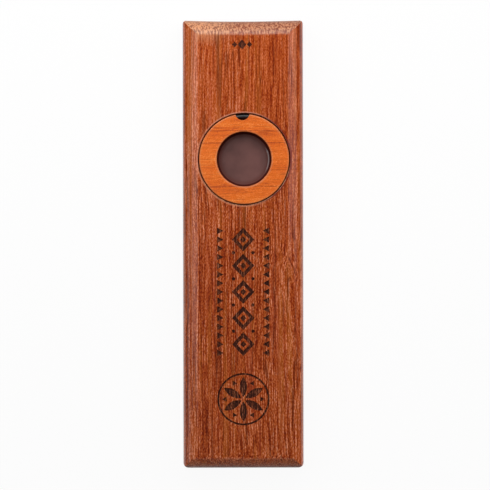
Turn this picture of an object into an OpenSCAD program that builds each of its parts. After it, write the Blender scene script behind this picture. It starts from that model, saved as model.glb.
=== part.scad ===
// Wooden bar kazoo: two routed boards glued face to face, with a film held down by a push-fit ring.
// It lies on its back. +Y runs to the mouth end, +Z out of the front face, and the origin is in the
// middle of the back face. Lengths are in millimetres and angles in degrees.

/* [Bar] */
// Length of the bar, from the far end to the mouth end
body_length = 120; // [100:1:160]
// Width of the bar
body_width = 32.3; // [30:0.1:45]
// Thickness of the bar, both boards together
body_thickness = 15; // [14:0.5:22]
// Radius of the round-over along the front edges
front_round = 4.1; // [1:0.1:5]
// Radius of the round-over along the back edges
back_round = 1.2; // [0.5:0.1:3]
// Radius of the upright corners at the mouth end
mouth_corner = 1.1; // [0.4:0.1:3]
// Radius of the upright corners at the far end
far_corner = 1.6; // [0.4:0.1:3]
// Depth of the shallow hollow across the mouth end, where the lips rest
lip_hollow = 0.3; // [0.1:0.05:1.5]

/* [Air channel] */
// Width of the channel
channel_width = 16; // [12:0.5:20]
// Height of the channel, half of it in each board
channel_height = 6.2; // [6:0.1:7.5]
// Radius of the channel's four long corners
channel_corner = 2.6; // [1:0.1:2.9]
// Depth of the flare around each end of the channel
flare_depth = 0.8; // [0.3:0.1:1]

/* [Pocket for the ring] */
// Distance from the mouth end to the middle of the pocket
pocket_from_mouth = 37.25; // [30:0.25:60]
// How far the pocket sits to the right of the bar's centre line
pocket_offset = 0.3; // [0:0.1:1]
// Thickness of the ledge that the film lies on
ledge_thickness = 1.6; // [1:0.1:2.5]
// How far the port through the ledge is wider than the sound hole, on each side
port_margin = 0.3; // [0:0.1:1]
// Radius of the round-over on the rim of the pocket
rim_round = 0.3; // [0.1:0.05:0.5]

/* [Retaining ring] */
// Outer diameter of the ring
ring_d = 24.2; // [22:0.05:26]
// Width of the ring's band, from its outer edge to its sound hole
ring_width = 4.8; // [4:0.1:6]
// Thickness of the ring
ring_thickness = 3.6; // [3.2:0.1:4.5]
// Radius on the ring's four edges
ring_edge = 0.35; // [0.1:0.05:0.6]
// Gap between the ring and the pocket's wall
ring_gap = 0.2; // [0.15:0.05:0.5]
// Diameter of the half-round notch that the ring is pried out by
notch_d = 3.8; // [2.5:0.1:5]
// How far the ring is turned in its pocket
ring_turn = 2; // [0:1:90]

/* [Seal and film] */
// Thickness of the rubber seal ring's cord
seal_cord = 1.5; // [1.2:0.1:1.8]
// Gap between the seal and the pocket's wall
seal_gap = 0.05; // [0.02:0.01:0.1]
// Gap between the seal and each wall of its groove
groove_gap = 0.04; // [0.02:0.01:0.1]
// Thickness of the film
film_thickness = 0.08; // [0.05:0.01:0.2]
// Gap between the edge of the film and the pocket's wall
film_edge_gap = 0.6; // [0.3:0.1:1.2]
// How far the middle of the film is drawn down below its rim
film_draw = 0.2; // [0.1:0.05:0.8]
// Width of the curved band between the film's middle and its rim
film_band = 1; // [0.5:0.1:2]
// Air between faces that only lie on each other
lay_gap = 0.02; // [0.01:0.01:0.05]

/* [Hidden] */
// How far a cut runs past the faces that it opens
overrun = 1;
// Steps in the film's curved band
band_steps = 8;

// Heights above the back face, from the front face down
pocket_depth = ring_thickness + film_thickness + 2 * lay_gap;
ledge_z = body_thickness - pocket_depth;
channel_z = ledge_z - ledge_thickness - channel_height / 2;
film_z = ledge_z + lay_gap;
ring_z = film_z + film_thickness + lay_gap;
seal_z = ring_z + ring_thickness / 2;

// Places and radii of the round pieces, which share one upright axis
pocket_y = body_length / 2 - pocket_from_mouth;
pocket_r = ring_d / 2 + ring_gap;
seal_r = pocket_r - seal_gap - seal_cord / 2;
groove_r = seal_r - seal_cord / 2 - groove_gap;
groove_height = seal_cord + 2 * groove_gap;
film_r = pocket_r - film_edge_gap;
hole_r = ring_d / 2 - ring_width;
port_r = hole_r + port_margin;

// The hollow at the mouth end is an arc across the whole width of the bar
lip_r = (pow(body_width / 2, 2) + pow(lip_hollow, 2)) / (2 * lip_hollow);
lip_axis_y = body_length / 2 - lip_hollow + lip_r;
lip_sweep = 2 * asin((body_width / 2 + overrun) / lip_r);

rosewood = "#9b4a2a";
ring_wood = "#d8703a";
black_rubber = "#1c1b1b";
film_brown = "#61423e";
$fn = 96;

// Waste outside a quarter round of radius r: the solid is on the -x, -y side of the origin
module corner_waste(r) {
    translate([-r, -r]) difference() {
        square(r + overrun);
        circle(r);
    }
}

// Waste outside the front and back round-overs of a wall that stands at x = 0, solid on its -x side
module edge_waste() {
    translate([0, body_thickness]) corner_waste(front_round);
    mirror([0, 1]) corner_waste(back_round);
}

// The bar seen end on, with x across it and y up
module bar_section() {
    difference() {
        translate([-body_width / 2, 0]) square([body_width, body_thickness]);
        for (side = [0, 1]) mirror([side, 0]) translate([body_width / 2, 0]) edge_waste();
    }
}

// The bar seen from its side, with x along it and y up: only its far end is rounded here
module bar_side() {
    difference() {
        translate([-body_length / 2, 0]) square([body_length, body_thickness]);
        translate([-body_length / 2, 0]) mirror([1, 0]) edge_waste();
    }
}

// The bar seen from the front
module bar_outline() {
    difference() {
        square([body_width, body_length], center = true);
        for (side = [0, 1]) mirror([side, 0]) {
            translate([body_width / 2, body_length / 2]) corner_waste(mouth_corner);
            translate([body_width / 2, -body_length / 2]) mirror([0, 1]) corner_waste(far_corner);
        }
    }
}

// Stands a flat shape up and runs it along y, with its own y upwards
module along_y(run) {
    translate([0, run / 2, 0]) rotate([90, 0, 0]) linear_extrude(run) children();
}

// Stands a flat shape up and runs it along x, with its own x along y and its own y upwards
module along_x(run) {
    translate([-run / 2, 0, 0]) rotate([90, 0, 90]) linear_extrude(run) children();
}

// The bar from its mouth end on: a rounded section turned about the axis of the lips' hollow
module bar_from_mouth() {
    translate([0, lip_axis_y, 0]) rotate([0, 0, -90 - lip_sweep / 2])
        rotate_extrude(angle = lip_sweep, $fn = 1440) translate([lip_r, 0]) difference() {
            square([body_length + overrun, body_thickness]);
            mirror([1, 0]) edge_waste();
        }
}

// Both boards in one: rounded outlines crossed, so that the round-overs meet in mitred corners
module bar() {
    intersection() {
        linear_extrude(body_thickness) bar_outline();
        along_y(body_length) bar_section();
        along_x(body_width) bar_side();
        bar_from_mouth();
    }
}

// Everything on the front side of the seam, or on its back side
module seam_side(front) {
    translate([-body_width, -body_length, front ? channel_z : channel_z - body_thickness])
        cube([2 * body_width, 2 * body_length, body_thickness]);
}

// The channel's section, centred, with x across the bar and y up
module channel_section() {
    difference() {
        square([channel_width, channel_height], center = true);
        for (side = [0, 1], level = [0, 1]) mirror([side, 0]) mirror([0, level])
            translate([channel_width / 2, channel_height / 2]) corner_waste(channel_corner);
    }
}

// A bar section that starts w wide at x = 0 and widens by one in one to both sides over a run
module wedge(w, run) {
    polygon([[0, -w / 2], [run, -w / 2 - run], [run, w / 2 + run], [0, w / 2]]);
}

// The channel's section, widening by one in one to all sides as it runs along +y
module flare(run) {
    straight_w = channel_width - 2 * channel_corner;
    straight_h = channel_height - 2 * channel_corner;
    for (side = [-1, 1], level = [-1, 1])
        translate([side * straight_w / 2, 0, level * straight_h / 2]) rotate([-90, 0, 0])
            cylinder(r1 = channel_corner, r2 = channel_corner + run, h = run);
    along_x(straight_w) wedge(channel_height, run);
    translate([0, 0, -straight_h / 2]) linear_extrude(straight_h) rotate(90)
        wedge(channel_width, run);
}

// The air channel, open at both ends
module channel() {
    translate([0, 0, channel_z]) {
        along_y(body_length + 2 * overrun) channel_section();
        translate([0, body_length / 2 - lip_hollow - flare_depth, 0])
            flare(flare_depth + lip_hollow + overrun);
        translate([0, flare_depth - body_length / 2, 0]) mirror([0, 1, 0])
            flare(flare_depth + overrun);
    }
}

// Moves a piece from the axis of the pocket to its place in the bar, at height z
module at_pocket(z) {
    translate([pocket_offset, pocket_y, z]) children();
}

// The round pocket with its rounded rim, and the port that opens its floor to the channel
module pocket() {
    at_pocket(ledge_z) cylinder(r = pocket_r, h = pocket_depth + overrun);
    at_pocket(body_thickness)
        rotate_extrude() translate([pocket_r, 0]) mirror([1, 0]) corner_waste(rim_round);
    at_pocket(channel_z) cylinder(r = port_r, h = ledge_z - channel_z + overrun);
}

// The ring's section, with x out from the axis and y up from its underside
module ring_section() {
    difference() {
        translate([hole_r, 0]) square([ring_width, ring_thickness]);
        for (level = [0, 1]) translate([0, level * ring_thickness]) mirror([0, 1 - level]) {
            translate([ring_d / 2, 0]) corner_waste(ring_edge);
            translate([hole_r, 0]) mirror([1, 0]) corner_waste(ring_edge);
        }
        translate([groove_r, (ring_thickness - groove_height) / 2])
            square([ring_d / 2 - groove_r + overrun, groove_height]);
    }
}

// How far the film lies below its rim at radius r
function film_drop(r) =
    let (inward = min(max((hole_r - r) / film_band, 0), 1))
    film_draw * (1 - cos(180 * inward)) / 2;

// The film's top or bottom edge in section, from its middle to its rim, at height z over its underside
function film_edge(z) = [
    [0, z - film_draw],
    for (step = [0 : band_steps])
        let (r = hole_r - film_band * (1 - step / band_steps))
        [r, z - film_drop(r)],
    [film_r, z]
];

function backwards(list) = [for (i = [len(list) - 1 : -1 : 0]) list[i]];

// Front half of the bar, with half the channel, the port and the pocket for the ring
module front_board() {
    color(rosewood) difference() {
        intersection() {
            bar();
            seam_side(true);
        }
        channel();
        pocket();
    }
}

// Back half of the bar, with the other half of the channel
module back_board() {
    color(rosewood) difference() {
        intersection() {
            bar();
            seam_side(false);
        }
        channel();
    }
}

// The push-fit ring, grooved for its seal and notched through its outer edge
module retaining_ring() {
    color(ring_wood) at_pocket(ring_z) difference() {
        rotate_extrude() ring_section();
        rotate([0, 0, ring_turn]) translate([0, pocket_r, -overrun])
            cylinder(d = notch_d, h = ring_thickness + 2 * overrun);
    }
}

// The rubber ring in the retaining ring's groove, which grips the pocket's wall
module seal_ring() {
    color(black_rubber) at_pocket(seal_z)
        rotate_extrude() translate([seal_r, 0]) circle(d = seal_cord);
}

// The film that buzzes: a drawn disc, clamped on the ledge by its flat rim
module membrane() {
    color(film_brown) at_pocket(film_z)
        rotate_extrude() polygon(concat(film_edge(0), backwards(film_edge(film_thickness))));
}

front_board();
back_board();
retaining_ring();
seal_ring();
membrane();
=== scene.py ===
# %% [markdown]
# This lesson dresses a wooden bar kazoo. Its five pieces come in at their real sizes: two boards glued
# face to face, a push-fit ring, the rubber seal round it and the film under it. The lesson adds what the
# eye meets: the timber, the lacquer, the rubber, the film and an ornament burnt into the front.
# The bar lies on its back with its mouth end towards +Y, as in the picture, where +Y is up.

# %% Load the pieces
import math
import bmesh
import bpy
from mathutils import Matrix, Vector


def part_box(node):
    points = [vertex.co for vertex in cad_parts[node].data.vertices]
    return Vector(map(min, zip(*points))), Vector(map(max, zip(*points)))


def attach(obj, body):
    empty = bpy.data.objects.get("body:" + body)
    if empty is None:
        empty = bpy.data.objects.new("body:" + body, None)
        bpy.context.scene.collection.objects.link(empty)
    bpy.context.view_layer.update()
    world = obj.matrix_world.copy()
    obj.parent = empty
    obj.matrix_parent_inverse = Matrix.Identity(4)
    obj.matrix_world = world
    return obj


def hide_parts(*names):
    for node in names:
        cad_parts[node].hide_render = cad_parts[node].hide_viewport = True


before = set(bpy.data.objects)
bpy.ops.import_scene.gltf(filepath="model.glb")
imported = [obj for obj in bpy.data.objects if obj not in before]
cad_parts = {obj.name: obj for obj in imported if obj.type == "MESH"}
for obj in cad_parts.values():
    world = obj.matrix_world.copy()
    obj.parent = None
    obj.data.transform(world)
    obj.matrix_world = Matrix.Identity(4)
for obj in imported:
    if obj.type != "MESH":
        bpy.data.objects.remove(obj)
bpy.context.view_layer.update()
MM = 0.001
board_low, board_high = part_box("front_board")
ring_low, ring_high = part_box("retaining_ring")
board_half = (board_high - board_low) / 2
ring_middle = (ring_low + ring_high) / 2
seam_height = board_low.z / MM
face_height = board_high.z / MM
print("pieces:", ", ".join(sorted(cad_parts)))
print("the seam is", round(seam_height, 2), "mm up and the front face", round(face_height, 2), "mm")

# %% [markdown]
# The camera stands straight above the bar, as on a copy stand. A long lens far away keeps the sides of
# the bar out of sight, as a close one would not. The view is set by real sizes: how much of the table
# fits across the picture, and where its middle falls on the bar.

# %% Camera
CAMERA_DISTANCE = 1.2
SENSOR_WIDTH = 36.0
PICTURE_WIDTH = 131.9 * MM
PICTURE_CENTRE = Vector((0.5, -0.25, 7.5)) * MM
CAMERA_TURN = math.radians(-0.11)

lens = bpy.data.cameras.new("copy_stand_lens")
lens.sensor_width = SENSOR_WIDTH
lens.lens = SENSOR_WIDTH * CAMERA_DISTANCE / PICTURE_WIDTH
camera = bpy.data.objects.new("copy_stand_camera", lens)
camera.location = PICTURE_CENTRE + Vector((0, 0, CAMERA_DISTANCE))
camera.rotation_euler = (0, 0, CAMERA_TURN)
bpy.context.scene.collection.objects.link(camera)
bpy.context.scene.camera = camera
print("a lens of", round(lens.lens), "mm,", CAMERA_DISTANCE, "m above the bar")

# %% [markdown]
# In a shader, each sign of a formula is a Math node, and a long formula becomes a web that nobody can
# read. A small class lets Python write that web instead. It holds one socket, its operators add the
# Math nodes, and its method called node adds any other kind.

# %% A wire that Python can calculate with
class Wire:
    """One value, vector or colour in a material. Python's operators on it add Math nodes."""

    def __init__(self, socket):
        self.socket = socket

    def node(self, kind, settings, sockets, output=0):
        """Adds a node to this wire's material: its settings come first, then its sockets."""
        node = self.socket.id_data.nodes.new("ShaderNode" + kind)
        for name, value in settings.items():
            if name == "stops":
                fill_ramp(node.color_ramp, value)
            else:
                setattr(node, name, value)
        for name, value in sockets.items():
            feed(node.inputs[name], value)
        return Wire(node.outputs[output])

    def math(self, operation, *values):
        return self.node("Math", {"operation": operation}, dict(enumerate((self, *values))))

    def __add__(self, other):
        return self.math("ADD", other)

    def __mul__(self, other):
        return self.math("MULTIPLY", other)

    def __sub__(self, other):
        return self.math("SUBTRACT", other)

    def __rsub__(self, other):
        return self.node("Math", {"operation": "SUBTRACT"}, {0: other, 1: self})

    def __abs__(self):
        return self.math("ABSOLUTE")

    __radd__ = __add__
    __rmul__ = __mul__

    def step(self, low, high):
        """A smooth climb from 0 at low to 1 at high. Where low is the higher value, it falls instead."""
        sockets = {"Value": self, "From Min": low, "From Max": high}
        return self.node("MapRange", {"interpolation_type": "SMOOTHSTEP"}, sockets)

    def axis(self, letter):
        """One axis of a vector, as a number."""
        return self.node("SeparateXYZ", {}, {"Vector": self}, letter)


def feed(socket, value):
    """Links a wire to a socket, or sets the socket to a plain value."""
    if isinstance(value, Wire):
        socket.id_data.links.new(value.socket, socket)
    else:
        socket.default_value = value


def fill_ramp(ramp, stops):
    """Gives a colour ramp its stops, as (place, colour) pairs."""
    while len(ramp.elements) < len(stops):
        ramp.elements.new(1.0)
    for element, (place, colour) in zip(ramp.elements, stops):
        element.position = place
        element.color = paint(colour)


def paint(colour):
    """A colour as a screen names it, such as #9b4a2a, as linear light. The numbers are sRGB's own."""
    shares = [int(colour[i:i + 2], 16) / 255 for i in (1, 3, 5)]
    return (*[s / 12.92 if s <= 0.04045 else ((s + 0.055) / 1.055) ** 2.4 for s in shares], 1.0)


print("#9b4a2a is", [round(c, 3) for c in paint("#9b4a2a")], "in linear light")

# %% [markdown]
# Every finish starts alike: a material with one Principled shader, and the place of each point in the
# object's own coordinates, counted in millimetres. A pattern on those is solid: it runs right through
# the piece, so a cut across the grain shows the same fibres end on, as real wood does.

# %% Start a finish, and patterns for it
# Where the Mix node keeps its colours, because it has sockets of one name for each kind of value.
A_COLOUR, B_COLOUR, MIXED_COLOUR = 6, 7, 2
STREAK_EDGES = (0.38, 0.62)


def new_finish(name, **constants):
    """A new material. Returns it, its shader's sockets and the texture coordinates' sockets."""
    material = bpy.data.materials.new(name)
    material.use_nodes = True
    shader = material.node_tree.nodes["Principled BSDF"]
    for socket, value in constants.items():
        shader.inputs[socket.replace("_", " ")].default_value = value
    coordinates = material.node_tree.nodes.new("ShaderNodeTexCoord").outputs
    return material, shader.inputs, coordinates


def millimetres(coordinates):
    """The place of each point of an object, in millimetres."""
    metres = Wire(coordinates["Object"])
    return metres.node("VectorMath", {"operation": "SCALE"}, {0: metres, "Scale": 1 / MM})


def mix(share, under, over):
    """The under colour where share is 0, and the over colour where it is 1."""
    under, over = [paint(c) if isinstance(c, str) else c for c in (under, over)]
    sockets = {0: share, A_COLOUR: under, B_COLOUR: over}
    return share.node("Mix", {"data_type": "RGBA"}, sockets, MIXED_COLOUR)


def noise(place, size, seed, detail=0.0):
    """Cloudy noise from 0 to 1, its clouds so many millimetres long along x, y and z."""
    cells = place.node("VectorMath", {"operation": "DIVIDE"}, {0: place, 1: size})
    sockets = {"Vector": cells, "W": seed, "Scale": 1.0, "Detail": detail}
    return cells.node("TexNoise", {"noise_dimensions": "4D"}, sockets)


def streaks(place, width, length, seed):
    """Crisp streaks along y, so many millimetres wide and long, from 0 to 1."""
    return noise(place, (width, length, width), seed).step(*STREAK_EDGES)


def hairlines(place, spacing, length, seed, fineness):
    """Thin lines along y that wander and fork: the level lines of stretched noise. 1 on a line."""
    return abs(noise(place, (spacing, length, spacing), seed) - 0.5).step(fineness, 0.0)


def bumped(height, depth):
    """A surface normal roughened by a height from 0 to 1 that stands for so many metres."""
    return height.node("Bump", {}, {"Height": height, "Distance": depth})


print("a finish starts with new_finish; its patterns are noise, streaks and hairlines")

# %% [markdown]
# Wood is long fibres that wander a little, because no tree grows straight. Straight noise looks made by
# a machine, so the place is bent before any pattern reads it: slowly over the whole piece, quickly over
# a few millimetres, and in waves where the grain is unruly.

# %% Bend the grain
SLOW_BENDS = (24, 40, 24)
QUICK_BENDS = (2, 8, 2)
WAVES = (5, 13, 5)
SLOW_REACH = 2.4
QUICK_REACH = 0.5


def sway(place, size, seed):
    """Noise with its middle at 0, which pushes to either side."""
    return noise(place, size, seed) - 0.5


def bent_grain(place, seed, slow_reach=SLOW_REACH, wave_reach=None):
    """Bends a place that has its grain along y sideways. A reach is in millimetres."""
    bend = sway(place, SLOW_BENDS, seed) * slow_reach
    bend = bend + sway(place, QUICK_BENDS, seed + 0.5) * QUICK_REACH
    if wave_reach is not None:
        bend = bend + sway(place, WAVES, seed + 0.25) * wave_reach
    across = bend.node("CombineXYZ", {}, {"X": bend, "Z": bend})
    return place.node("VectorMath", {"operation": "ADD"}, {0: place, 1: across})


print("the grain sways over", SLOW_REACH, "mm and trembles over", QUICK_REACH, "mm")

# %% [markdown]
# Noise stretched along the grain gives one tone, from dark to pale, out of several scales: bands of
# growth first, and then streaks from long ones down to specks. Each scale is one entry in a table: the
# width and the length of its marks in millimetres, and its share of the tone.

# %% Lay the grain in scales
GROWTH_BANDS = (2.6, 90, 0.2)
STREAKS = ((0.24, 34, 0.32), (0.2, 6, 0.3), (0.2, 0.6, 0.34))


def layered_grain(grain, bands, scales, seed, detail=0.0):
    """Adds up the bands and the streaks of a grain."""
    width, length, share = bands
    tone = noise(grain, (width, length, width), seed, detail) * share
    for number, (width, length, share) in enumerate(scales, 1):
        tone = tone + streaks(grain, width, length, seed + number) * share
    return tone


print("streaks from", STREAKS[0][1], "mm down to", STREAKS[-1][1], "mm long")

# %% [markdown]
# No board is alike all over. Towards the mouth this one is calmer, and paler on its left. Towards the
# far end it is paler on its right. A painted highlight lies along each long round-over as a pale stripe,
# on the right only near the mouth. A painted map would fix this to one picture size, so each is a mask
# worked out from the place across the bar or along it.

# %% Calmer and paler places
MIDDLE_TONE = 0.59
CALM_ALONG = (5, 45)
CALM_SHARE = 0.25
PALER_ACROSS = 8
PALER_LEFT_ALONG = (0, 45)
PALER_LEFT = 0.12
PALER_RIGHT_ALONG = (2, -8)
PALER_RIGHT = 0.07
HIGHLIGHT_STRIPES_AT = 13.3
HIGHLIGHT_STRIPE_EDGES = (1.8, 1.0)
HIGHLIGHT_STRIPE_SHARE = 0.11
RIGHT_HALF = (-1, 1)
RIGHT_HIGHLIGHT_STRIPE_ENDS = (45, 25)


def board_tone(place, grain, seed):
    """The tone of the boards from 0, dark, to 1, pale, with painted highlight stripes on the round-overs.
    """
    across = place.axis("X")
    along = place.axis("Y")
    contrast = along.step(*CALM_ALONG) * -CALM_SHARE + 1
    tone = layered_grain(grain, GROWTH_BANDS, STREAKS, seed, detail=1.0) - MIDDLE_TONE
    tone = tone * contrast + 0.5
    rightwards = across.step(-PALER_ACROSS, PALER_ACROSS) - 0.5
    paler_left = along.step(*PALER_LEFT_ALONG) * PALER_LEFT
    paler_right = along.step(*PALER_RIGHT_ALONG) * PALER_RIGHT
    tone = tone + rightwards * (paler_right - paler_left)
    # Painted highlight: a pale stripe along each long round-over, where the lamps' bands fall.
    stripes = abs(abs(across) - HIGHLIGHT_STRIPES_AT).step(*HIGHLIGHT_STRIPE_EDGES)
    no_highlight_here = across.step(*RIGHT_HALF) * along.step(*RIGHT_HIGHLIGHT_STRIPE_ENDS)
    return tone + stripes * (1 - no_highlight_here) * HIGHLIGHT_STRIPE_SHARE


print("pale stripes run", HIGHLIGHT_STRIPES_AT, "mm from the middle of the bar")

# %% [markdown]
# The timber is an orange-red rosewood. One colour ramp turns the tone into timber, so that dark streaks
# come out redder and pale ones duller, as they do in the real wood. Tints of ochre and rose lie over it
# in long patches, and last come dark hairlines that fade in and out. The grain is unruly in one place,
# right of the ornament, and runs in waves there.

# %% The timber of the boards
TIMBER_STOPS = [
    (0.0, "#600f00"), (0.25, "#872a04"), (0.5, "#a94815"), (0.75, "#ca693b"), (1.0, "#e89874")]
OCHRE = "#b0611f"
ROSE = "#a4452c"
TINTS = ((OCHRE, (1.1, 70, 1.1), (0.52, 0.72)), (ROSE, (1.0, 50, 1.0), (0.55, 0.75)))
TINT_SHARE = 0.3
HAIRLINE = "#4e1202"
HAIRLINE_SHARE = 0.6
HAIRLINE_GAPS = (1.2, 20, 1.2)
HAIRLINE_FADES = (0.4, 0.6)
WAVES_ACROSS = (1, 7)
WAVES_MIDDLE = -17
WAVES_ALONG = (26, 12)
WAVE_REACH = 2.6


def timber(place, seed):
    """The timber's colour, and its tone from 0, dark, to 1, pale."""
    unruly = abs(place.axis("Y") - WAVES_MIDDLE).step(*WAVES_ALONG)
    unruly = place.axis("X").step(*WAVES_ACROSS) * unruly
    grain = bent_grain(place, seed, wave_reach=unruly * WAVE_REACH)
    tone = board_tone(place, grain, seed)
    colour = tone.node("ValToRGB", {"stops": TIMBER_STOPS}, {"Fac": tone})
    for number, (tint, size, shows) in enumerate(TINTS, len(STREAKS) + 1):
        patches = noise(grain, size, seed + number).step(*shows)
        colour = mix(patches * TINT_SHARE, colour, tint)
    fading = noise(grain, HAIRLINE_GAPS, seed + 6).step(*HAIRLINE_FADES)
    lines = hairlines(grain, spacing=0.9, length=90, seed=seed + 7, fineness=0.07) * fading
    return mix(lines * HAIRLINE_SHARE, colour, HAIRLINE), tone


print("timber from", TIMBER_STOPS[0][1], "to", TIMBER_STOPS[-1][1])

# %% [markdown]
# The cutter scorched the wall of the ring's pocket, which draws a dark line round the ring, and painted
# shade carries that dark line onto the rim. A painted highlight lies on the pocket's rim as a pale line.
# A thin ring of geometry for each would have hard edges. So both are masks that follow the distance
# from the upright axis of the ring. The scorch covers the wall and the ledge and fades just below it. On
# the right the painted shade reaches further out, and there is no painted highlight.

# %% The edge of the pocket
RING_RADIUS = (ring_high.x - ring_low.x) / 2 / MM
RING_GAP = 0.2
POCKET_RADIUS = RING_RADIUS + RING_GAP
RIM_ROUND = 0.3
SCORCHED_AND_SHADED_RIM = "#761c03"
SCORCH_AND_SHADE_REACH = (POCKET_RADIUS + 0.75, POCKET_RADIUS + 0.35)
PAINTED_SHADE_DRIFT = 0.4
SCORCH_HEIGHT = (10.0, 10.6)
PAINTED_POCKET_RIM_HIGHLIGHT = "#d58a68"
POCKET_RIM_HIGHLIGHT_SHARE = 0.6


def from_axis(place):
    """How far each point is from the upright axis of the ring, in millimetres."""
    middle = (-ring_middle.x / MM, -ring_middle.y / MM, 0)
    moved = place.node("VectorMath", {"operation": "ADD"}, {0: place, 1: middle})
    flat = moved.node("VectorMath", {"operation": "MULTIPLY"}, {0: moved, 1: (1, 1, 0)})
    return flat.node("VectorMath", {"operation": "LENGTH"}, {0: flat}, "Value")


def pocket_edge(place, colour):
    """Scorches the wall of the pocket, with painted shade that reaches furthest on the right, and paints
    a pale highlight on the rest of its rim.
    """
    radius = from_axis(place)
    rim = radius.step(POCKET_RADIUS + 2 * RIM_ROUND, POCKET_RADIUS + RIM_ROUND)
    high = place.axis("Z").step(face_height - 2 * RIM_ROUND, face_height - RIM_ROUND)
    off_right = (place.axis("X") - ring_middle.x / MM).step(POCKET_RADIUS, 0)
    # Painted highlight: a pale line on the rim, away from the right.
    colour = mix(rim * high * off_right * POCKET_RIM_HIGHLIGHT_SHARE, colour, PAINTED_POCKET_RIM_HIGHLIGHT)
    # Scorch on the wall, and painted shade beyond it, reaching further on the right.
    scorch_and_shade = (radius + off_right * PAINTED_SHADE_DRIFT).step(*SCORCH_AND_SHADE_REACH)
    return mix(scorch_and_shade * place.axis("Z").step(*SCORCH_HEIGHT), colour, SCORCHED_AND_SHADED_RIM)


print("the pocket is", round(2 * POCKET_RADIUS, 2), "mm across")

# %% [markdown]
# No lacquer reaches inside the air channel, the port under the film and the lower pocket, so the timber
# is raw and dull there. A material of their own would need these faces picked out one by one, so masks
# find them by their place: a box round the channel and a cylinder round the pocket, both a little larger
# than the hollow.

# %% Raw timber inside
CHANNEL_HALF_WIDTH = 8.0
CHANNEL_HALF_HEIGHT = 3.1
RAW_UNTIL = 0.1
RAW_ENDS = 0.3
CHANNEL_MOUTH = (0.1, 1)
POCKET_WALL = (0.15, 0.05)
LACQUERED_DEPTH = (0.8, 1.2)


def channel_wall(distance, half_size):
    """1 from the middle of the channel to just beyond its wall, and then 0."""
    return distance.step(half_size + RAW_ENDS, half_size + RAW_UNTIL)


def inside_channel(place):
    """1 on the walls of the air channel, which no lacquer reaches."""
    across = channel_wall(abs(place.axis("X")), CHANNEL_HALF_WIDTH)
    up = channel_wall(abs(place.axis("Z") - seam_height), CHANNEL_HALF_HEIGHT)
    ends, starts = [board_half.y / MM - inwards for inwards in CHANNEL_MOUTH]
    return across * up * abs(place.axis("Y")).step(ends, starts)


def inside_pocket(place):
    """1 on the ledge and the walls below the ring's top, and in the port below the film."""
    outer, inner = [POCKET_RADIUS + beyond for beyond in POCKET_WALL]
    upper, lower = [face_height - down for down in LACQUERED_DEPTH]
    port_floor = seam_height + CHANNEL_HALF_HEIGHT
    above_channel = place.axis("Z").step(port_floor + RAW_UNTIL, port_floor + RAW_ENDS)
    return from_axis(place).step(outer, inner) * place.axis("Z").step(upper, lower) * above_channel


print("the channel is", 2 * CHANNEL_HALF_WIDTH, "by", 2 * CHANNEL_HALF_HEIGHT, "mm")

# %% [markdown]
# At the ends of the bar the wood is cut across its fibres, and its pores are open. The pores are noise
# stretched along the grain, so that the same pattern makes dots at the ends and runs into streaks where
# the round-overs meet the face. The lips have worn the mouth end down to pale fibres, most on the left,
# where the wear spills onto the face; this paleness is also a painted highlight of the lamps at the
# mouth.
# Painted shade darkens the flat ends, and most of all the edge of the far one. How far the surface turns
# to an end drives all this, because it needs no map of the bar: it is 0 on the faces, 1 on the mouth's
# flat end and -1 on the far one.

# %% The ends of the bar
PORE = "#74361f"
WORN_FIBRE_AND_HIGHLIGHT = "#d2956e"
MOST_WORN_AND_LIT = "#da956a"
MOST_WORN_ACROSS = (0, -12)
WEAR_IN_PORES = 0.8
MORE_ON_FIBRES = 0.4
MOUTH_WEAR_AND_HIGHLIGHT = (-0.02, 0.35)
MOUTH_WEAR_AND_HIGHLIGHT_SHARE = 0.72
SPOT_ALONG = (52.5, 56.5)
SPOT_OFF_THE_SIDE = (0.35, 0.1)
SPOT_WORN_SHARE = 0.55
SPOT_FIBRE_SHARE = 0.25
FAR_WEAR = (-0.05, -0.4)
FAR_WEAR_ENDS = (-0.97, -0.8)
FAR_WORN_SHARE = 0.18
FLAT_END = (0.85, 1.0)
CALM_PORES = 0.6
FLAT_FIBRE_SHARE = 0.6
PAINTED_END_SHADE = "#4a2c22"
# How far a surface turns where each painted shade starts and is full, and its share.
PAINTED_END_SHADES = ((0.75, 1.0, 0.3), (-0.8, -0.97, 0.6), (-0.97, -1.0, -0.35))


def open_ends(place, normal, fibres, colour):
    """Lays wear, painted highlight and painted shade over the ends. The fibres are 1 on pale fibres and 0
    in the open pores.
    """
    towards_mouth = normal.axis("Y")
    leftwards = place.axis("X").step(*MOST_WORN_ACROSS)
    off_the_side = abs(normal.axis("X")).step(*SPOT_OFF_THE_SIDE)
    spot = leftwards * place.axis("Y").step(*SPOT_ALONG) * off_the_side
    bite = fibres * MORE_ON_FIBRES + WEAR_IN_PORES
    # The mouth's pale wear is also a painted highlight.
    worn = (towards_mouth * bite).step(*MOUTH_WEAR_AND_HIGHLIGHT) * MOUTH_WEAR_AND_HIGHLIGHT_SHARE
    far_round = towards_mouth.step(*FAR_WEAR) * towards_mouth.step(*FAR_WEAR_ENDS)
    worn = worn + spot * SPOT_WORN_SHARE + far_round * FAR_WORN_SHARE
    flat_end = abs(towards_mouth).step(*FLAT_END)
    bare = fibres * (1 - flat_end * CALM_PORES) + flat_end * (CALM_PORES * FLAT_FIBRE_SHARE)
    bare = bare + spot * SPOT_FIBRE_SHARE
    pale_fibre_and_highlight = mix(bare, PORE, mix(leftwards, WORN_FIBRE_AND_HIGHLIGHT, MOST_WORN_AND_LIT))
    colour = mix(worn, colour, pale_fibre_and_highlight)
    # Painted shade over the ends, most at the edge of the far one.
    dark = 0.0
    for starts, full, share in PAINTED_END_SHADES:
        dark = towards_mouth.step(starts, full) * share + dark
    return mix(dark, colour, PAINTED_END_SHADE)


print("the mouth end is worn to", WORN_FIBRE_AND_HIGHLIGHT, "and the far one only a little")

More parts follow.
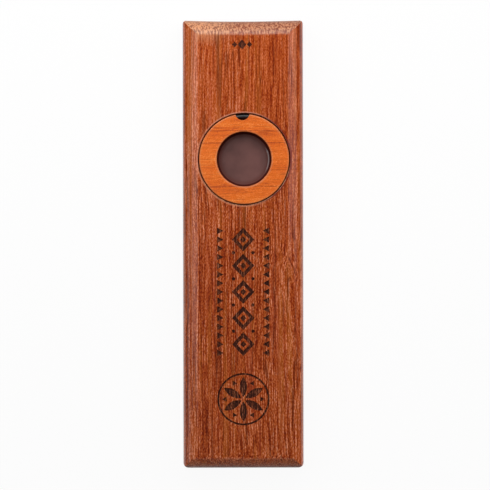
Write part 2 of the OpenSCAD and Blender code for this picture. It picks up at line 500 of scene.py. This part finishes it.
# %% [markdown]
# The boards are lacquered, which gives the pale bands along the round-overs, together with the painted
# highlight stripes in the timber, and the grey glint at the edges. On the faces the lacquer is level. At
# the ends it sinks into the pores, so the end grain is rough and sparkles. So one mask, from how far the
# surface turns to an end, drives the roughness and the depth of the bump. On the flat ends the pores are
# filled and calmer. The seam between the boards shows as a fine line of glue.

# %% The finish of the boards
SEAM_HALF_WIDTH = 0.06
GLUE_SHARE = 0.7
RAW_TIMBER = "#b06a45"
RAW_SHARE = 0.4
RAW_ROUGHNESS = 0.75
LACQUER_ROUGHNESS = 0.08
END_ROUGHNESS = 0.5
FIBRE_SMOOTHNESS = 0.15
PORE_SIZE = (0.4, 8, 0.3)
PORE_EDGES = (0.36, 0.62)
END_GRAIN = (0.0, 0.5)
END_GRAIN_DEPTH = 0.07 * MM
FACE_SHARE = 0.02


def board_finish(name, seed):
    """Lacquered timber. The front board's ornament uses the same seed, so that its grain runs on."""
    finish, shader, coordinates = new_finish(name, IOR=1.5, Specular_IOR_Level=0.5)
    place = millimetres(coordinates)
    normal = Wire(coordinates["Normal"])
    colour, tone = timber(place, seed)
    fibres = noise(place, PORE_SIZE, seed + 8, detail=1.0).step(*PORE_EDGES)
    colour = open_ends(place, normal, fibres, pocket_edge(place, colour))
    raw = inside_channel(place)
    colour = mix(raw * RAW_SHARE, colour, RAW_TIMBER)
    glue = abs(place.axis("Z") - seam_height).step(2 * SEAM_HALF_WIDTH, SEAM_HALF_WIDTH)
    feed(shader["Base Color"], mix(glue * GLUE_SHARE, colour, HAIRLINE))
    towards_end = abs(normal.axis("Y"))
    end_grain = towards_end.step(*END_GRAIN)
    unlacquered = (raw + inside_pocket(place)) * (RAW_ROUGHNESS - LACQUER_ROUGHNESS)
    dull = end_grain * (END_ROUGHNESS - fibres * FIBRE_SMOOTHNESS) + unlacquered
    feed(shader["Roughness"], dull + LACQUER_ROUGHNESS)
    sunk = end_grain * (1 - FACE_SHARE) + FACE_SHARE
    sunk = sunk * (1 - towards_end.step(*FLAT_END) * CALM_PORES)
    feed(shader["Normal"], bumped((tone + fibres) * sunk, END_GRAIN_DEPTH))
    return finish


front_finish = board_finish("lacquered_rosewood_front", 0.0)
back_finish = board_finish("lacquered_rosewood_back", 20.0)
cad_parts["back_board"].data.materials[0] = back_finish
print("finishes:", front_finish.name, "and", back_finish.name)

# %% [markdown]
# The front is decorated as such instruments are, by burning: a hot point or a laser chars the wood a
# few tenths of a millimetre deep, and the grain still shows in the char. A bump would fake the depth,
# but real recesses throw real shadows, so flat stamps are drawn first and then sunk into the board. The
# motifs are plain chip-carver's ones: lozenges, a saw-tooth border and a six-petalled rosette.

# %% Draw flat stamps
ornament = bmesh.new()


def stamp(motif, at, turn=0.0, pointed=False):
    """Draws a flat motif, given by its corners, width and length in millimetres. Returns its face."""
    corners, width, length = motif
    made = bmesh.ops.create_circle(ornament, cap_ends=True, segments=corners, radius=0.5)["verts"]
    if pointed:
        for vert in made:
            vert.co.x *= 2 * abs(vert.co.x)
    size = Matrix.Diagonal((width * MM, length * MM, 1, 1))
    place = Matrix.Translation(Vector((*at, 0)) * MM) @ Matrix.Rotation(turn, 4, "Z") @ size
    bmesh.ops.transform(ornament, matrix=place, verts=made)
    return made[0].link_faces[0]


def hollow(face, line):
    """Leaves only a line of the shape's outline, so many millimetres wide."""
    bmesh.ops.inset_region(
        ornament, faces=[face], thickness=line * MM, use_boundary=True, use_even_offset=True)
    bmesh.ops.delete(ornament, geom=[face], context="FACES")


print("a stamp is a flat face; a hollow one is an outline")

# %% [markdown]
# The long band lies between the ring and the far end. A loop repeats the lozenge, and the pitch of the
# teeth follows from the length of the band, so that both rows end together.

# %% The band of lozenges
LOZENGES = 5
LOZENGE = (4, 6.0, 6.4)
LOZENGE_LINE = 0.95
LOZENGE_CORE = (4, 1.6, 1.8)
LOZENGE_PITCH = 7.0
BAND_TOP = 1.2
TEETH = 15
TOOTH = (3, 2.1, 2.3)
TOOTH_PITCH = LOZENGES * LOZENGE_PITCH / TEETH
BORDER = 6.4
DOT = (16, 0.9, 0.9)
DOTS_ASIDE = 2.6

for row in range(LOZENGES):
    middle = BAND_TOP - row * LOZENGE_PITCH
    hollow(stamp(LOZENGE, (0, middle)), LOZENGE_LINE)
    stamp(LOZENGE_CORE, (0, middle))
for side in (-1, 1):
    for tooth in range(TEETH):
        middle = BAND_TOP + LOZENGE_PITCH / 2 - (tooth + 0.5) * TOOTH_PITCH
        stamp(TOOTH, (side * BORDER, middle), side * math.pi / 2)
    for row in range(1, LOZENGES):
        stamp(DOT, (side * DOTS_ASIDE, BAND_TOP - (row - 0.5) * LOZENGE_PITCH))
print("the band has", LOZENGES, "lozenges between two rows of", TEETH, "teeth")

# %% [markdown]
# The rosette is the one that a pair of compasses draws: six pointed petals in a circle, with a small
# triangle between each two. Three little lozenges mark the mouth end.

# %% The rosette and the mouth mark
ROSETTE = Vector((0.0, -41.5))
CIRCLE = (64, 14.0, 14.0)
CIRCLE_LINE = 0.5
PETALS = 6
PETAL_LENGTH = 5.4
PETAL = (24, 2.0, PETAL_LENGTH)
PETAL_START = 0.6
TRIANGLE = (3, 1.6, 1.6)
TRIANGLES_OUT = 4.9
MOUTH_MARK = Vector((-0.2, 53.4))
MIDDLE_MARK = (4, 2.3, 2.7)
SIDE_MARK = (4, 1.4, 1.6)
MARK_PITCH = 2.0

hollow(stamp(CIRCLE, ROSETTE), CIRCLE_LINE)
for petal in range(PETALS):
    angle = petal * 2 * math.pi / PETALS
    between = angle + math.pi / PETALS
    outwards = Vector((-math.sin(angle), math.cos(angle)))
    stamp(PETAL, ROSETTE + outwards * (PETAL_START + PETAL_LENGTH / 2), angle, pointed=True)
    outwards = Vector((-math.sin(between), math.cos(between)))
    stamp(TRIANGLE, ROSETTE + outwards * TRIANGLES_OUT, between)
stamp(MIDDLE_MARK, MOUTH_MARK)
for side in (-1, 1):
    stamp(SIDE_MARK, MOUTH_MARK + Vector((side * MARK_PITCH, 0)))
print("stamps:", len(ornament.faces), "faces")

# %% [markdown]
# Each stamp becomes a plug: straight from above the board to just below its face, then tapered to the
# floor of the burn, because a burn is narrower at its bottom. Two passes make it, one extrusion and one
# inset that also sinks. No edge of a plug may lie in the board's face itself, or the cut leaves slivers
# there.

# %% Turn the stamps into plugs
BURN_DEPTH = 0.22 * MM
BURN_TAPER = 0.08 * MM
BURN_LIP = 0.02 * MM
OVERRUN = 1.0 * MM


def open_edges(geometry):
    """How many edges of a bmesh don't lie between two faces."""
    return sum(not edge.is_manifold for edge in geometry.edges)


bmesh.ops.translate(ornament, vec=(0, 0, board_high.z + OVERRUN), verts=ornament.verts)
lowered = bmesh.ops.extrude_face_region(ornament, geom=ornament.faces[:])["geom"]
bmesh.ops.translate(
    ornament, vec=(0, 0, -OVERRUN - BURN_LIP),
    verts=[part for part in lowered if isinstance(part, bmesh.types.BMVert)])
floors = [part for part in lowered if isinstance(part, bmesh.types.BMFace)]
bmesh.ops.inset_region(ornament, faces=floors, thickness=BURN_TAPER, use_even_offset=True)
floor_verts = {vert for face in floors for vert in face.verts}
bmesh.ops.translate(ornament, vec=(0, 0, BURN_LIP - BURN_DEPTH), verts=list(floor_verts))
bmesh.ops.recalc_face_normals(ornament, faces=ornament.faces)
print("plugs:", len(ornament.faces), "faces,", open_edges(ornament), "open edges")

# %% [markdown]
# Char is dull and nearly black, but pale fibres resist the heat. So the char lies over the same timber,
# thinner where the tone is pale, and the tone roughens it too.

# %% Charred timber
CHAR = "#26100b"
CHAR_SHARE = 0.6
DARK_FIBRE_SHARE = 0.35
PALE_FIBRES = (1.0, 0.35)
CHAR_DEPTH = 0.06 * MM


def char_finish():
    """Charred timber. Pale fibres resist the heat and show through it."""
    finish, shader, coordinates = new_finish("charred_rosewood", Roughness=0.7, Specular_IOR_Level=0.15)
    colour, tone = timber(millimetres(coordinates), 0.0)
    charred = tone.step(*PALE_FIBRES) * DARK_FIBRE_SHARE + CHAR_SHARE
    feed(shader["Base Color"], mix(charred, colour, CHAR))
    feed(shader["Normal"], bumped(tone, CHAR_DEPTH))
    return finish


burnt_finish = char_finish()
print("the char hides", CHAR_SHARE, "of the palest fibres and more of the others")

# %% [markdown]
# A Boolean takes the plugs out of a copy of the board, and leaves their finish on the walls and floors
# of the burn. The copy comes from loose triangles, so its doubles are merged first.

# %% Cut the plugs out of the board
DOUBLES_WITHIN = 0.001 * MM


def mesh_object(name, geometry, finish):
    """Makes a bmesh an object with this finish, and frees the bmesh."""
    mesh = bpy.data.meshes.new(name)
    geometry.to_mesh(mesh)
    geometry.free()
    mesh.materials.append(finish)
    made = bpy.data.objects.new(name, mesh)
    bpy.context.scene.collection.objects.link(made)
    return made


blank = bmesh.new()
blank.from_mesh(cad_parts["front_board"].data)
bmesh.ops.remove_doubles(blank, verts=blank.verts, dist=DOUBLES_WITHIN)
board = mesh_object("decorated_front_board", blank, front_finish)
plugs = mesh_object("plugs", ornament, burnt_finish)
cut = board.modifiers.new("cut", "BOOLEAN")
cut.object = plugs
cut.solver = "EXACT"
cut.material_mode = "TRANSFER"
carved = bpy.data.meshes.new_from_object(board.evaluated_get(bpy.context.evaluated_depsgraph_get()))
board.modifiers.remove(cut)
board.data = carved
bpy.data.objects.remove(plugs)
print("the board has", len(carved.polygons), "faces and the finishes", [m.name for m in carved.materials])

# %% [markdown]
# The cut board needs smooth round-overs and crisp creases. Its faces are shaded smooth, its edges are
# marked sharp where two faces meet at a clear angle, and a Weighted Normal modifier lets the large flat
# faces decide how their rims are shaded. Then the board rides on its body in place of the plain one.

# %% Shade the carved board
CREASE = math.radians(28)

shaded = bmesh.new()
shaded.from_mesh(carved)
for edge in shaded.edges:
    edge.smooth = edge.calc_face_angle(0) < CREASE
for face in shaded.faces:
    face.smooth = True
print("the carved board has", open_edges(shaded), "open edges")
shaded.to_mesh(carved)
shaded.free()
weighting = board.modifiers.new("weighting", "WEIGHTED_NORMAL")
weighting.keep_sharp = True
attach(board, "bar")
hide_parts("front_board")

# %% [markdown]
# The ring is a lighter, plainer wood, cut with its grain across the bar. It was cut out with heat, so its
# upright walls carry a brown scorch, which draws a dark line along its edges, and a painted highlight
# makes
# the edges beside them pale. A few thin dark growth lines cross it. The patterns of the boards serve
# again:
# their grain runs along y, so the place is turned by a right angle first.

# %% The ring
RING_STOPS = [(0.0, "#b63c00"), (0.3, "#d45d0a"), (0.6, "#e36d17"), (1.0, "#f0964c")]
RING_SEED = 7.0
RING_SWAY = 0.8
RING_BANDS = (1.8, 40, 0.6)
RING_STREAKS = ((0.26, 6, 0.15), (0.24, 0.9, 0.16))
FLECKS = (0.22, 0.3, 0.22)
FLECK_EDGES = (0.3, 0.7)
FLECK_SHARE = 0.3
RING_LOWEST_TONE = -0.1
RING_LINE = "#963406"
FINE_LINE_GAPS = (1, 4, 1)
FINE_LINE_FADES = (0.45, 0.6)
FINE_LINE_SHARE = 0.5
GROWTH_LINES = (7.6, 4.4, -7.5)
GROWTH_LINE_EDGES = (0.2, 0.05)
GROWTH_LINE_TONES = (0.85, 0.45)
GROWTH_LINE_SHARE = 0.75


def ring_wood(place):
    """The ring's colour, and its tone from dark to pale. The grain is turned to lie along x."""
    turned = place.node("Mapping", {}, {"Vector": place, "Rotation": (0, 0, math.pi / 2)})
    grain = bent_grain(turned, RING_SEED, RING_SWAY)
    flecks = noise(grain, FLECKS, RING_SEED + 5).step(*FLECK_EDGES)
    tone = layered_grain(grain, RING_BANDS, RING_STREAKS, RING_SEED)
    tone = tone + flecks * FLECK_SHARE + RING_LOWEST_TONE
    colour = tone.node("ValToRGB", {"stops": RING_STOPS}, {"Fac": tone})
    lines = hairlines(grain, spacing=0.9, length=30, seed=RING_SEED + 3, fineness=0.06)
    lines = lines * noise(grain, FINE_LINE_GAPS, RING_SEED + 4).step(*FINE_LINE_FADES)
    colour = mix(lines * FINE_LINE_SHARE, colour, RING_LINE)
    for line in GROWTH_LINES:
        away = abs(grain.axis("X") + (ring_middle.y / MM + line))
        shows = away.step(*GROWTH_LINE_EDGES) * tone.step(*GROWTH_LINE_TONES)
        colour = mix(shows * GROWTH_LINE_SHARE, colour, RING_LINE)
    return colour, tone


print("growth lines", GROWTH_LINES, "mm from the ring's middle")

# %% [markdown]
# The scorch and the painted highlight follow the ring's shape, so they come from two measures of it: the
# distance from its axis finds the pale edges, and the upright part of the surface normal finds the walls.

# %% The finish of the ring
RING_WIDTH = 4.8
HOLE_RADIUS = RING_RADIUS - RING_WIDTH
PAINTED_RING_RIM_HIGHLIGHT = "#cc9468"
OUTER_RIM = (0.5, 0.3)
INNER_RIM = (0.55, 0.35)
RING_RIM_HIGHLIGHT_SHARE = 0.25
SCORCHED = "#6e1e06"
WALLS = (0.7, 0.35)
WALL_SHARE = 0.9
OILED_ROUGHNESS = 0.28
PALE_SMOOTHNESS = 0.1
RING_GRAIN_DEPTH = 0.008 * MM


def ring_finish():
    """Light orange wood, oiled, with scorch on its walls and a painted highlight along its edges."""
    finish, shader, coordinates = new_finish("oiled_ring_wood", Specular_IOR_Level=0.35)
    place = millimetres(coordinates)
    colour, tone = ring_wood(place)
    radius = from_axis(place)
    # Painted highlight: pale lines along the outer and inner edges.
    rim_highlights = abs(radius - RING_RADIUS).step(*OUTER_RIM) + abs(radius - HOLE_RADIUS).step(*INNER_RIM)
    colour = mix(rim_highlights * RING_RIM_HIGHLIGHT_SHARE, colour, PAINTED_RING_RIM_HIGHLIGHT)
    upright = abs(Wire(coordinates["Normal"]).axis("Z")).step(*WALLS)
    feed(shader["Base Color"], mix(upright * WALL_SHARE, colour, SCORCHED))
    feed(shader["Roughness"], OILED_ROUGHNESS - tone * PALE_SMOOTHNESS)
    feed(shader["Normal"], bumped(tone, RING_GRAIN_DEPTH))
    return finish


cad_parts["retaining_ring"].data.materials[0] = ring_finish()
print("the ring is", round(2 * RING_RADIUS, 1), "mm across, its hole", round(2 * HOLE_RADIUS, 1), "mm")

# %% [markdown]
# The seal is black rubber, smooth from its mould. It shows only in the ring's notch, as black with a
# grey gloss, so a low roughness does most of the work, and a little dust keeps it from looking wet.

# %% The rubber seal
RUBBER = "#0d0b0b"
DUSTY_RUBBER = "#221e1c"
DUST_SIZE = (0.5, 0.5, 0.5)
DUST_EDGES = (0.4, 0.8)
RUBBER_ROUGHNESS = 0.25
DUST_ROUGHNESS = 0.2


def rubber_finish():
    """Black rubber with a gloss that dust dulls in places."""
    finish, shader, coordinates = new_finish("black_rubber_gloss", Specular_IOR_Level=1.0)
    dust = noise(millimetres(coordinates), DUST_SIZE, seed=0.0, detail=3.0)
    feed(shader["Base Color"], mix(dust.step(*DUST_EDGES), RUBBER, DUSTY_RUBBER))
    feed(shader["Roughness"], dust * DUST_ROUGHNESS + RUBBER_ROUGHNESS)
    return finish


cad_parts["seal_ring"].data.materials[0] = rubber_finish()
print("rubber from", RUBBER, "to", DUSTY_RUBBER, "where it is dusty")

# %% [markdown]
# The film is thin, dark and smooth, and faintly clouded, as stretched film is, a little paler on its
# right. It is drawn down a little in the middle. The shine is a coat over a dull base. The ring has
# scuffed it off the curved rim, which is dull, but one fold in the rim, on the right, has kept it and
# catches the light. Painted shade turns the film brown towards the rim, less on the mouth's side, and
# ends in a dark painted line of shade at its edge. So the distance from the axis of the ring drives the
# colour, and the weight of the coat too.

# %% The film
FILM_DARK = "#61403c"
FILM_PALE = "#764e49"
CLOUDS = (3.5, 3.5, 3.5)
CLOUD_EDGES = (0.3, 0.7)
CLOUD_SHARE = 0.5
PALER_FILM_ACROSS = (-3, 2)
FILM_SHADE = "#5a2f28"
SHADE_FROM_AXIS = (5.4, 6.6)
SHADE_SHARE = 0.6
SHADE_LESS_ALONG = (2, 6)
SHADE_LESS = 0.4
PAINTED_FILM_EDGE_SHADE = "#420c02"
EDGE_SHADE_FROM_AXIS = (6.65, 6.85)
CURVE_START = 5.9
CURVE_WIDTH = 0.3
FOLD_RADIUS = 6.6
FOLD_HALF_WIDTH = 0.22
FOLD_ACROSS = (5.4, 6.2)


def film_finish():
    """Dark film, shiny where the ring hasn't scuffed it, with painted shade towards its edge."""
    finish, shader, coordinates = new_finish(
        "dark_film", Roughness=0.6, Specular_IOR_Level=0.1, Coat_Roughness=0.07, Coat_IOR=1.8)
    place = millimetres(coordinates)
    radius = from_axis(place)
    rightwards = place.axis("X") - ring_middle.x / MM
    towards_mouth = place.axis("Y") - ring_middle.y / MM
    clouds = noise(place, CLOUDS, seed=0.0, detail=2.0).step(*CLOUD_EDGES)
    pale = clouds * CLOUD_SHARE + rightwards.step(*PALER_FILM_ACROSS) * (1 - CLOUD_SHARE)
    # Painted shade towards the rim, less on the mouth's side.
    shade = towards_mouth.step(*SHADE_LESS_ALONG) * -SHADE_LESS + SHADE_SHARE
    colour = mix(radius.step(*SHADE_FROM_AXIS) * shade, mix(pale, FILM_DARK, FILM_PALE), FILM_SHADE)
    # Painted shade: a dark line where the film meets the ring's hole.
    feed(shader["Base Color"], mix(radius.step(*EDGE_SHADE_FROM_AXIS), colour, PAINTED_FILM_EDGE_SHADE))
    fold = abs(radius - FOLD_RADIUS).step(FOLD_HALF_WIDTH, 0.5 * FOLD_HALF_WIDTH)
    shine = radius.step(CURVE_START + CURVE_WIDTH, CURVE_START) + fold * rightwards.step(*FOLD_ACROSS)
    feed(shader["Coat Weight"], shine)
    return finish


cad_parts["membrane"].data.materials[0] = film_finish()
print("the film shines within", CURVE_START, "mm of its middle and on its fold")

# %% [markdown]
# The bar lies on white paper. The paper glows to the camera, so that it comes out as white as in a
# catalogue without more light on the bar, and it still takes the bar's shadow. In reflections it glows
# only close to the bar, as a sheet between black cards does, and the sheet lies a little to the right
# and aslant. The lacquer mirrors it as a thin grey line along the outermost edges, and the rest of the
# round-overs keep their colour.

# %% White paper
PAPER_SIZE = 6.0
PAPER_WHITE = "#f3f3f3"
PAPER_GLOW = 0.93
MIRRORED_GLOW = 0.9
GLOW_MIDDLE = 9
GLOW_SLANT = 0.1
GLOW_ENDS = (65, 15)


def paper_finish():
    """White paper that glows to the camera, and near the bar in reflections."""
    finish, shader, coordinates = new_finish("white_paper", Roughness=1.0, Specular_IOR_Level=0.0)
    shader["Base Color"].default_value = paint(PAPER_WHITE)
    place = millimetres(coordinates)
    beside = abs(place.axis("X") - place.axis("Y") * GLOW_SLANT - GLOW_MIDDLE) - board_half.x / MM
    beyond = abs(place.axis("Y")) - board_half.y / MM
    near = beside.step(*GLOW_ENDS) * beyond.step(*GLOW_ENDS)
    nodes = finish.node_tree.nodes
    rays = nodes.new("ShaderNodeLightPath").outputs
    seen = Wire(rays["Is Camera Ray"])
    mirrored = Wire(rays["Is Glossy Ray"]) + Wire(rays["Is Transmission Ray"])
    glow = mix(seen + mirrored * near * MIRRORED_GLOW, "#000000", "#ffffff")
    white = glow.node("Emission", {}, {"Color": glow})
    surface = Wire(nodes["Principled BSDF"].outputs["BSDF"])
    both = glow.node("MixShader", {}, {0: seen * PAPER_GLOW + mirrored, 1: surface, 2: white})
    feed(nodes["Material Output"].inputs["Surface"], both)
    return finish


bpy.ops.mesh.primitive_plane_add(size=PAPER_SIZE)
paper = bpy.context.object
paper.name = "white_paper"
paper.data.materials.append(paper_finish())
print("paper", PAPER_SIZE, "m square")

# %% [markdown]
# The studio is plain: dim walls that keep the lacquer clear, a small softbox close to the mouth end,
# whose light fades along the bar, and two larger ones that lean to the sides, for the pale bands along
# the round-overs. These stand more towards the mouth end, so the bands fade too. A low fill on the left
# shows in the lacquer at the far end. The low one on the right and a weak one overhead only even out
# the light, so they are kept out of reflections.

# %% Studio light
WALL_LIGHT = 0.1
# Each lamp has the angle from +X that it leans towards and its lean from the vertical, in degrees, then
# its distance, width, length and shift along the bar, in metres, and its radiance.
LAMPS = {
    "softbox_mouth": (95, 50, 0.23, 0.15, 0.3, -0.03, 2.6),
    "softbox_left": (180, 26.75, 0.7, 0.6, 0.3, 0.05, 1.1),
    "softbox_right": (0, 35.5, 0.7, 0.86, 0.4, 0.19, 1.05),
    "fill_left": (180, 82, 0.6, 0.4, 0.6, -0.26, 0.9),
    "fill_right": (0, 80, 0.6, 0.3, 0.6, -0.03, 1.9),
    "fill_top": (0, 0, 0.7, 0.5, 0.5, 0.0, 0.42),
}
OUT_OF_REFLECTIONS = ("fill_right", "fill_top")


def studio_walls():
    """The world: dim walls all round."""
    world = bpy.data.worlds.new("studio_walls")
    world.use_nodes = True
    background = world.node_tree.nodes["Background"].inputs
    background["Color"].default_value = paint("#ffffff")
    background["Strength"].default_value = WALL_LIGHT
    return world


def softbox(name, towards, lean, distance, width, length, along, radiance):
    """A rectangular lamp that faces the bar."""
    lamp = bpy.data.lights.new(name, "AREA")
    lamp.shape = "RECTANGLE"
    lamp.size = width
    lamp.size_y = length
    lamp.energy = radiance * math.pi * width * length
    box = bpy.data.objects.new(name, lamp)
    turn = Matrix.Rotation(math.radians(towards), 4, "Z") @ Matrix.Rotation(math.radians(lean), 4, "Y")
    box.matrix_world = Matrix.Translation((0, along, 0)) @ turn @ Matrix.Translation((0, 0, distance))
    box.visible_glossy = name not in OUT_OF_REFLECTIONS
    bpy.context.scene.collection.objects.link(box)


bpy.context.scene.view_settings.view_transform = "Standard"
bpy.context.scene.world = studio_walls()
for name, lamp_values in LAMPS.items():
    softbox(name, *lamp_values)
print("lamps:", len(bpy.data.lights))
